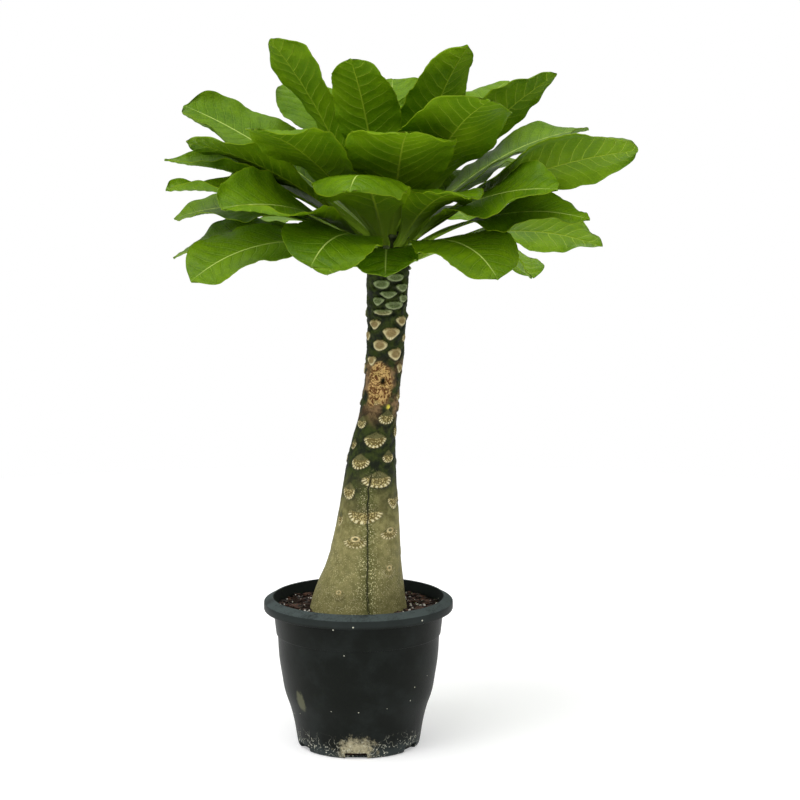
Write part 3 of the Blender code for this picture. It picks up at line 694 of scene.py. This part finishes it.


# Leaves. Thick, glossy, spoon-shaped leaves in one rosette, each on a pale stalk that clasps the
# tip of the stem. The blade has a pale midrib and side veins that bend towards its tip, a
# slightly notched and rippled margin, and an underside that is yellower and less glossy, with painted
# light on it: its green is made brighter to stand for light shining through the thin blade.
LEAVES = [
    ("leaf_heart_front", 296, 71, 98, 40, 6, 6, 0, 20, 3, 0.1),
    ("leaf_heart_left", 172, 71, 100, 38, 6, 6, 0, 20, 3, 0.5),
    ("leaf_heart_back", 56, 68, 110, 42, 8, 8, 0, 20, 3, 0.8),
    ("leaf_upright_right", 314, 57, 177, 68, 10, 10, -4, 12, 4, 0.2),
    ("leaf_upright_centre", 252, 53, 173, 60, 8, 8, 2, 14, 4, 0.6),
    ("leaf_upright_left", 201, 54.5, 192, 64, 6, 6, 14, 12, 4, 0.0),
    ("leaf_back_centre", 89, 49, 174, 74, 16, 16, 0, 12, 5, 0.3),
    ("leaf_back_left", 148, 47, 172, 72, 16, 16, -18, 12, 5, 0.7),
    ("leaf_back_right", 39, 43, 195, 68, 14, 14, 8, 12, 5, 0.4),
    ("leaf_high_right", 353, 42.5, 202, 62, 10, 10, -32, 16, 2.5, 0.9),
    ("leaf_broad_right", 305, 38.5, 186, 98, 14, 14, -8, 10, 5, 0.2),
    ("leaf_back_upper", 114, 36, 190, 70, 22, 22, 0, 8, 5, 0.1),
    ("leaf_broad_front", 276, 33, 172, 98, 14, 14, 0, 12, 5, 0.5),
    ("leaf_high_left", 167, 31, 226, 78, 10, 10, -24, 8, 5, 0.1),
    ("leaf_high_left_front", 190, 26, 202, 76, 14, 14, 16, 6, 5, 0.6),
    ("leaf_back_middle", 68, 29, 200, 70, 22, 22, 0, 8, 5, 0.7),
    ("leaf_broad_left", 230, 29.5, 198, 80, 16, 16, 4, 12, 5, 0.3),
    ("leaf_side_right_back", 18, 27, 218, 70, 20, 20, 8, 10, 5, 0.2),
    ("leaf_back_left_middle", 142, 17, 205, 76, 24, 24, 0, 8, 5, 0.4),
    ("leaf_long_right", 352, 21, 238, 80, 20, 12, -32, 10, 4, 0.8),
    ("leaf_glossy_right", 325, 17, 184, 84, 22, 18, 26, 6, 6, 0.3),
    ("leaf_front", 258, 19, 162, 84, 35, 56, 0, -13, 5, 0.6),
    ("leaf_front_right", 299, 19, 150, 60, 26, 26, -6, 12, 5, 0.1),
    ("leaf_back_right_middle", 44, 20, 205, 70, 26, 26, 0, 8, 5, 0.9),
    ("leaf_middle_left", 173, 20.5, 220, 76, 18, 13, -4, 10, 5, 0.5),
    ("leaf_back_low_centre", 95, 17, 205, 68, 26, 26, 0, 8, 5, 0.3),
    ("leaf_middle_left_front", 193, 15, 208, 72, 20, 18, -8, 6, 5, 0.0),
    ("leaf_front_left", 225, 12, 200, 76, 20, 20, -25, 16, 5, 0.8),
    ("leaf_lower_right", 336, 10, 194, 80, 22, 20, 18, 6, 6, 0.5),
    ("leaf_back_low_left", 122, 12, 206, 68, 28, 28, 0, 8, 5, 0.6),
    ("leaf_low_left_back", 163, 8, 212, 76, 26, 26, -20, 10, 5, 0.2),
    ("leaf_low_right", 9, 3, 200, 78, 24, 20, -28, 8, 5, 0.8),
    ("leaf_low_back_right", 67, 7, 204, 68, 30, 30, 0, 8, 5, 0.4),
    ("leaf_low_back_left", 138, 2, 206, 66, 34, 34, 0, 8, 5, 0.9),
    ("leaf_drooping_front_left", 245, 0.5, 152, 82, 44, 44, -18, 6, 5, 0.4),
    ("leaf_drooping_front", 269, -3, 108, 56, 44, 44, 0, 6, 5, 0.9),
    ("leaf_drooping_right", 307, -2.5, 156, 88, 44, 42, 9, 6, 5, 0.6),
    ("leaf_lowest_left", 170, 0, 202, 72, 34, 28, -14, 10, 5, 0.7),
    ("leaf_lowest_left_front", 206, -3.5, 190, 78, 34, 34, -22, 8, 5, 0.3),
    ("leaf_lowest_back", 92, -1, 196, 66, 38, 38, 0, 6, 5, 0.5),
    ("leaf_lowest_right_back", 40, -6, 184, 66, 36, 36, 0, 6, 5, 0.2),
    ("leaf_lowest_right", 350, -5, 132, 62, 40, 40, 0, 8, 5, 0.4),
    ("leaf_lowest_back_left", 118, -7, 128, 58, 40, 40, 0, 6, 5, 0.0),
]
# How far a leaf's margins and its tip curl under, in millimetres, where they do so plainly.
CURLED = {
    "leaf_broad_front": (4.0, 4.0), "leaf_broad_right": (4.5, 3.0), "leaf_broad_left": (4.5, 3.0),
    "leaf_high_right": (4.0, 1.0), "leaf_long_right": (7.0, 1.0), "leaf_upright_left": (2.5, 0.0),
    "leaf_front": (3.0, 2.0), "leaf_front_right": (4.0, 4.0), "leaf_drooping_right": (2.0, 2.0),
    "leaf_high_left": (-4.0, 0.0), "leaf_middle_left": (-3.0, 2.0), "leaf_front_left": (-3.0, 0.0),
    "leaf_middle_left_front": (-3.0, 1.0), "leaf_low_right": (3.0, 2.0), "leaf_lower_right": (2.0, 2.0),
}
# How full the tips are: 2 is round, less runs to a point, more is blunt.
TIP_FULLNESS = {
    "leaf_middle_left": 1.5, "leaf_low_left_back": 1.6, "leaf_glossy_right": 1.7, "leaf_lowest_left": 1.5,
    "leaf_lower_right": 1.6, "leaf_low_right": 1.7, "leaf_drooping_right": 1.8, "leaf_high_right": 1.7,
    "leaf_lowest_left_front": 1.9, "leaf_upright_right": 1.6, "leaf_broad_front": 1.7,
    "leaf_upright_left": 2.6, "leaf_long_right": 2.8, "leaf_middle_left_front": 2.6, "leaf_high_left": 2.6,
}
SEAT_LOW, SEAT_HIGH = 0.440, 0.4925
SEAT_LOW_ANGLE, SEAT_ANGLES = -10.0, 75.0
STALK_WIDTH, STALK_THICKNESS = 0.0078, 0.0036
BLADE_THICKNESS, EDGE_THICKNESS = 0.0013, 0.0007
WIDEST_AT = 0.72
VEIN_SPACING = 11.0
CURVE_HANDLE = 0.36
RIPPLES, OTHER_EDGE_SHIFT = 2.1, 0.37
QUILT_DEPTH, UPPER_RIB_DEPTH, UNDER_RIB_HEIGHT = 0.00042, 0.0008, 0.0012
# The fine leaves end a little short of the solid ones, which are the part's outer bounds.
TIP_INSET = 0.0008


def direction(azimuth, elevation):
    flat = math.cos(elevation)
    return np.array([flat * math.cos(azimuth), flat * math.sin(azimuth), math.sin(elevation)])


def unit(vectors):
    return vectors / np.linalg.norm(vectors, axis=-1, keepdims=True)


blunt_end = 0.70 + 0.30 * np.sin(np.linspace(0.02, 1.0, 42) * math.pi / 2.0)
along_rows = np.concatenate([np.linspace(0.0, 0.24, 12), np.linspace(0.25, 0.70, 56), blunt_end])
half_columns = np.linspace(0.0, 1.0, 12)
half_columns = half_columns - 0.10 * np.sin(2.0 * math.pi * half_columns)
across_columns = np.concatenate([-half_columns[:0:-1], half_columns])


def leaf_points(leaf, number):
    """Upper and under points of one leaf as rows along it by columns across, and what its veins need."""
    name, azimuth, elevation, length, width, rise_by, droop_by, roll, cup, wave, phase = leaf
    own = np.random.default_rng(100 + number)
    azimuth, elevation, rise_by, droop_by = (
        math.radians(x) for x in (azimuth, elevation, rise_by, droop_by)
    )
    length, width, wave = length / 1000, width / 1000, wave / 1000
    share = (math.degrees(elevation) - SEAT_LOW_ANGLE) / SEAT_ANGLES
    seat = SEAT_LOW + (SEAT_HIGH - SEAT_LOW) * min(1.0, max(0.0, share))
    stem_radius, stem_lean = (float(x) for x in trunk_at(seat))
    middle = np.array([stem_lean, 0.0, seat])
    start = middle + direction(azimuth, 0.0) * (stem_radius - 0.0006)
    end = middle + direction(azimuth, elevation) * (length - TIP_INSET)
    handle = CURVE_HANDLE * np.linalg.norm(end - start)
    first = start + direction(azimuth, elevation + rise_by) * handle
    last = end - direction(azimuth, elevation - droop_by) * handle

    u = along_rows[:, None] + 0.0 * across_columns[None, :]
    v = across_columns[None, :] + 0.0 * along_rows[:, None]
    reach = (u * (1.0 - 0.012 * v * v * step(0.5, 1.0, u)))[..., None]
    rest = 1.0 - reach
    centre = rest**3 * start + 3 * rest**2 * reach * first + 3 * rest * reach**2 * last + reach**3 * end
    along = unit(rest**2 * (first - start) + 2 * rest * reach * (last - first) + reach**2 * (end - last))
    across = np.array([-math.sin(azimuth), math.cos(azimuth), 0.0])
    above = np.cross(along, across)
    turn = (math.radians(roll) * step(0.15, 0.7, u))[..., None]
    across, above = (
        np.cos(turn) * across + np.sin(turn) * above,
        np.cos(turn) * above - np.sin(turn) * across,
    )
    seated = (1.0 - step(0.0, 0.09, u))[..., None]
    thick_way = unit(seated * np.array([0.0, 0.0, 1.0]) + (1.0 - seated) * above)

    fullness = TIP_FULLNESS.get(name, 2.1)
    stalk = STALK_WIDTH / 2.0 * (1.0 + 0.25 * (1.0 - step(0.0, 0.07, u)))
    growing = stalk + (width / 2.0 - stalk) * step(0.04, WIDEST_AT - 0.08, u)
    closing = np.clip((u - WIDEST_AT) / (1.0005 - WIDEST_AT), 0.0, 1.0)
    half = np.where(u <= WIDEST_AT, growing, width / 2.0 * (1.0 - closing**fullness) ** (1.0 / fullness))
    full = half / (width / 2.0)
    notches = sum(
        own.uniform(0.3, 1.0) * np.sin(2 * math.pi * (k * u + own.uniform() + 0.2 * v))
        for k in (9, 15, 22, 27)
    )
    half = half * (1.0 + 0.0080 * notches * step(0.30, 0.5, u) * np.abs(v) ** 3)

    bend = math.radians(cup) * 2.0 * step(0.1, 0.5, u)
    bend = np.where(np.abs(bend) < 1e-4, 1e-4, bend)
    sideways = half * np.sin(bend * v) / bend
    rise = half * (1.0 - np.cos(bend * v)) / bend
    edge_shift = np.where(v > 0, OTHER_EDGE_SHIFT, 0.0)
    waves = wave * v * v * np.sin(2 * math.pi * (RIPPLES * u + phase + edge_shift)) * step(0.3, 0.6, u)
    ripple = sum(
        own.uniform(0.4, 1.0) * np.sin(2 * math.pi * (k * u + own.uniform() + 0.15 * v))
        for k in (4.3, 6.9, 9.7)
    )
    waves = waves + 0.0009 * ripple * np.abs(v) ** 3 * step(0.30, 0.55, u)
    margin_curl, tip_curl = CURLED.get(name, (1.2, 0.8))
    waves = waves - margin_curl / 1000 * step(0.62, 1.0, np.abs(v)) ** 1.6 * step(0.25, 0.6, u)
    rise = rise + waves * step(0.0, 0.75, full) - tip_curl / 1000 * step(0.72, 1.0, u) ** 1.5

    lateral = half * v * 1000.0
    spacing = VEIN_SPACING * own.uniform(0.90, 1.15)
    phase_of_veins = (u * length * 1000.0 - 0.52 * np.abs(lateral) - 0.0060 * lateral**2) / spacing
    for strength, along_turns, across_turns in ((0.14, 1.7, 0.55), (0.06, 3.7, -0.9), (0.03, 7.9, 1.3)):
        turns_of = along_turns * u + across_turns * v + own.uniform()
        phase_of_veins = phase_of_veins + strength * np.sin(2 * math.pi * turns_of)
    blade = step(0.22, 0.42, u)
    offset = np.where(v > 0, 0.5, 0.0)
    quilt = np.cos(2 * math.pi * (phase_of_veins + offset)) * blade
    quilt = quilt * np.clip(np.abs(v) * 6.0, 0.0, 1.0) * (1.0 - np.abs(v) ** 4)
    fleshy = 1.0 - step(0.05, 0.42, u)
    thickness = BLADE_THICKNESS + (STALK_THICKNESS - BLADE_THICKNESS) * fleshy
    thickness = thickness + (EDGE_THICKNESS - BLADE_THICKNESS) * (1.0 - fleshy) * v**4
    taper = 1.0 - 0.75 * u
    rib = np.exp(-((lateral / (1.9 * taper)) ** 2)) * taper * step(0.04, 0.14, u)
    upper_height = thickness / 2.0 - QUILT_DEPTH * quilt - UPPER_RIB_DEPTH * rib
    under_height = thickness / 2.0 + QUILT_DEPTH * quilt + UNDER_RIB_HEIGHT * rib
    surface = centre + across * sideways[..., None] + above * rise[..., None]
    upper = surface + thick_way * upper_height[..., None]
    under = surface - thick_way * under_height[..., None]
    return upper, under, np.stack([phase_of_veins, lateral, u], axis=-1), v, own.uniform()


wide = len(across_columns)
tall = len(along_rows)
grid = np.arange(tall * wide).reshape(tall, wide)
upper_quads = np.stack([grid[:-1, :-1], grid[1:, :-1], grid[1:, 1:], grid[:-1, 1:]], axis=-1).reshape(-1, 4)
under_quads = upper_quads[:, ::-1] + tall * wide
border = np.concatenate([grid[0], grid[1:, -1], grid[-1, -2::-1], grid[-2:0:-1, 0]])
next_border = np.roll(border, -1)
edge_quads = np.stack([border, next_border, next_border + tall * wide, border + tall * wide], axis=-1)
leaf_quads = np.concatenate([upper_quads, under_quads, edge_quads]).tolist()

leaf_finish, tree, shader = new_finish("glossy_leaf")
place = add_node(tree, "TexCoord").outputs["Object"]
ribs = add_node(tree, "SeparateXYZ", {0: layer_of(tree, "ribs", True)})
vein_phase, lateral, along = ribs.outputs[0], ribs.outputs[1], ribs.outputs[2]
looks = add_node(tree, "SeparateXYZ", {0: layer_of(tree, "looks", True)})
margin, underside, tone = sums(tree, "ABSOLUTE", looks.outputs[0]), looks.outputs[1], looks.outputs[2]
off_rib = sums(tree, "ABSOLUTE", lateral)
vein_phase = sums(
    tree, "ADD", vein_phase, sums(tree, "MULTIPLY", sums(tree, "GREATER_THAN", lateral, 0.0), 0.5),
)
wander = sums(tree, "MULTIPLY_ADD", grain(tree, place, 70.0, 2.0), 0.12, -0.06)
vein_gap = sums(
    tree, "MULTIPLY", sums(tree, "PINGPONG", sums(tree, "ADD", vein_phase, wander), 0.5), VEIN_SPACING,
)
vein_width = sums(tree, "MULTIPLY_ADD", margin, -0.40, 0.80)
side_vein = soft_step(tree, sums(tree, "DIVIDE", vein_gap, vein_width), 0.20, 1.0, 1.0, 0.0)
vein_reach = sums(
    tree, "MULTIPLY", soft_step(tree, along, 0.24, 0.38), soft_step(tree, margin, 0.60, 0.96, 1.0, 0.0),
)
side_vein = sums(tree, "MULTIPLY", side_vein, vein_reach)
beside_vein = sums(tree, "MULTIPLY", soft_step(tree, vein_gap, 0.5, 3.5, 1.0, 0.0), vein_reach)
rib_width = sums(tree, "MULTIPLY_ADD", along, -1.3, 2.0)
midrib = soft_step(tree, sums(tree, "DIVIDE", off_rib, rib_width), 0.30, 1.0, 1.0, 0.0)
midrib = sums(tree, "MULTIPLY", midrib, soft_step(tree, along, 0.86, 1.0, 1.0, 0.15))
net = add_node(
    tree, "TexVoronoi", {"Vector": place, "Scale": 300.0}, feature="DISTANCE_TO_EDGE",
).outputs["Distance"]
net = soft_step(tree, net, 0.02, 0.14, 1.0, 0.0)
mottle = grain(tree, place, 30.0, 4.0, 0.6)
fine = grain(tree, place, 260.0, 3.0, 0.6)

upper_green = tint(
    tree, soft_step(tree, mottle, 0.34, 0.66), (0.055, 0.135, 0.0012), (0.115, 0.225, 0.0020),
)
upper_green = tint(tree, sums(tree, "MULTIPLY", tone, 0.35), upper_green, (0.170, 0.290, 0.0030))
# Painted shade: the upper side is coloured darker beside each side vein, where the quilted blade dips into
# a groove.
upper_green = tint(tree, sums(tree, "MULTIPLY", beside_vein, 0.30), upper_green, (0.040, 0.110, 0.0010))
# Partly painted light: the underside's own yellower green, made brighter to stand for light shining through
# the leaf.
under_green_and_glow = tint(
    tree, soft_step(tree, mottle, 0.34, 0.66), (0.098, 0.215, 0.0008), (0.165, 0.305, 0.0010),
)
under_green_and_glow = tint(tree, sums(tree, "MULTIPLY", beside_vein, 0.25), under_green_and_glow, (0.170, 0.310, 0.0020))
green = tint(tree, underside, upper_green, under_green_and_glow)
green = tint(tree, sums(tree, "MULTIPLY", net, 0.14), green, (0.26, 0.38, 0.010))
vein_green = tint(tree, underside, (0.240, 0.400, 0.030), (0.420, 0.600, 0.050))
vein_share = sums(tree, "MULTIPLY", side_vein, soft_step(tree, underside, 0.0, 1.0, 0.50, 0.60))
colour = tint(tree, vein_share, green, vein_green)
rib_green = tint(tree, underside, (0.560, 0.700, 0.170), (0.360, 0.500, 0.030))
colour = tint(tree, sums(tree, "MULTIPLY", midrib, 0.80), colour, rib_green)
stalk_share = soft_step(tree, along, 0.14, 0.42, 0.80, 0.0)
colour = tint(tree, stalk_share, colour, (0.200, 0.320, 0.020))
rim_share = sums(
    tree, "MULTIPLY", soft_step(tree, margin, 0.975, 1.0), soft_step(tree, along, 0.3, 0.45, 0.0, 0.30),
)
colour = tint(tree, rim_share, colour, (0.300, 0.380, 0.010))
dry = sums(tree, "MULTIPLY", soft_step(tree, along, 0.985, 1.0), soft_step(tree, fine, 0.50, 0.62))
colour = tint(tree, sums(tree, "MULTIPLY", dry, 0.4), colour, (0.100, 0.080, 0.015))
tree.links.new(colour, shader.inputs["Base Color"])
gloss = sums(tree, "MULTIPLY_ADD", underside, 0.18, 0.32)
tree.links.new(sums(tree, "MULTIPLY_ADD", mottle, 0.16, gloss), shader.inputs["Roughness"])
shader.inputs["Specular IOR Level"].default_value = 0.11
raised = sums(tree, "MAXIMUM", side_vein, midrib)
raised = sums(tree, "MULTIPLY", raised, soft_step(tree, underside, 0.0, 1.0, -1.0, 1.0))
leaf_relief = sums(tree, "ADD", raised, sums(tree, "MULTIPLY", sums(tree, "ADD", net, fine), 0.35))
relief(tree, shader, leaf_relief, 0.00038)

for number, leaf in enumerate(LEAVES):
    upper, under, ribs_of, v, leaf_tone = leaf_points(leaf, number)
    mesh = bpy.data.meshes.new(leaf[0])
    mesh.from_pydata(np.concatenate([upper.reshape(-1, 3), under.reshape(-1, 3)]).tolist(), [], leaf_quads)
    mesh.validate()
    add_layer(mesh, "ribs", np.concatenate([ribs_of.reshape(-1, 3)] * 2))
    upper_looks = np.stack([v, np.zeros_like(v), np.full_like(v, leaf_tone)], axis=-1).reshape(-1, 3)
    add_layer(mesh, "looks", np.concatenate([upper_looks, upper_looks + (0.0, 1.0, 0.0)]))
    mesh.shade_smooth()
    mesh.set_sharp_from_angle(angle=math.radians(60.0))
    mesh.materials.append(leaf_finish)
    blade = bpy.data.objects.new("fine_" + leaf[0], mesh)
    bpy.context.scene.collection.objects.link(blade)
    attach(blade, "root")
    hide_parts(leaf[0])


# Studio. A round white light table, soft light from a large overhead panel and two side panels, and
# the camera at the photograph's place, level with the lower leaves and looking down a little.
TABLE_RADIUS = 1.6
CAMERA_PLACE = (0.0382, -1.7948, 0.5474)
CAMERA_PITCH = math.radians(82.76)
CAMERA_LENS, CAMERA_SENSOR = 89.55, 36.0
ROOM_WALLS, ROOM_CEILING = 0.24, 0.84
TABLE_GLOW = 0.28

bpy.ops.mesh.primitive_circle_add(
    vertices=96, radius=TABLE_RADIUS, fill_type="NGON", location=(0.0, 0.0, 0.0),
)
floor = bpy.context.active_object
floor.name = "white_table"
floor_finish, tree, shader = new_finish("white_paper")
place = add_node(tree, "TexCoord").outputs["Object"]
fibre = grain(tree, place, 400.0, 3.0, 0.6)
tree.links.new(tint(tree, fibre, (0.88, 0.88, 0.88), (0.92, 0.92, 0.92)), shader.inputs["Base Color"])
shader.inputs["Roughness"].default_value = 0.9
shader.inputs["Emission Color"].default_value = (1.0, 1.0, 1.0, 1.0)
shader.inputs["Emission Strength"].default_value = TABLE_GLOW
floor.data.materials.append(floor_finish)


def add_panel(name, place, aim, size, power, colour=(1.0, 1.0, 1.0)):
    light = bpy.data.lights.new(name, "AREA")
    light.shape = "RECTANGLE"
    light.size, light.size_y = size
    light.energy = power
    light.color = colour
    panel = bpy.data.objects.new(name, light)
    panel.location = place
    away = np.array(aim) - np.array(place)
    panel.rotation_euler = (
        math.acos(-away[2] / np.linalg.norm(away)), 0.0, math.atan2(away[1], away[0]) - math.pi / 2.0,
    )
    bpy.context.scene.collection.objects.link(panel)
    return panel


add_panel("overhead_panel", (-0.4, -0.5, 2.2), (0.0, 0.0, 0.4), (1.6, 1.6), 26.0)
add_panel("left_panel", (-1.7, -1.5, 1.3), (0.0, 0.0, 0.35), (1.0, 1.4), 12.0)
add_panel("right_panel", (1.7, -1.4, 1.0), (0.0, 0.0, 0.35), (1.0, 1.4), 4.0)

# The room is white to the eye and lights the plant softly, more from above than from its walls.
world = bpy.data.worlds.new("white_room")
world.use_nodes = True
tree = world.node_tree
room = tree.nodes["Background"]
upward = add_node(tree, "SeparateXYZ", {0: add_node(tree, "TexCoord").outputs["Generated"]}).outputs[2]
glow = soft_step(tree, upward, -0.1, 0.8, ROOM_WALLS, ROOM_CEILING)
seen = add_node(tree, "LightPath").outputs["Is Camera Ray"]
room.inputs["Color"].default_value = (1.0, 1.0, 1.0, 1.0)
tree.links.new(sums(tree, "MAXIMUM", glow, seen), room.inputs["Strength"])
bpy.context.scene.world = world
bpy.context.scene.view_settings.view_transform = "Standard"

camera_data = bpy.data.cameras.new("camera")
camera_data.lens = CAMERA_LENS
camera_data.sensor_width = CAMERA_SENSOR
camera = bpy.data.objects.new("camera", camera_data)
camera.location = CAMERA_PLACE
camera.rotation_euler = (CAMERA_PITCH, 0.0, 0.0)
bpy.context.scene.collection.objects.link(camera)
bpy.context.scene.camera = camera
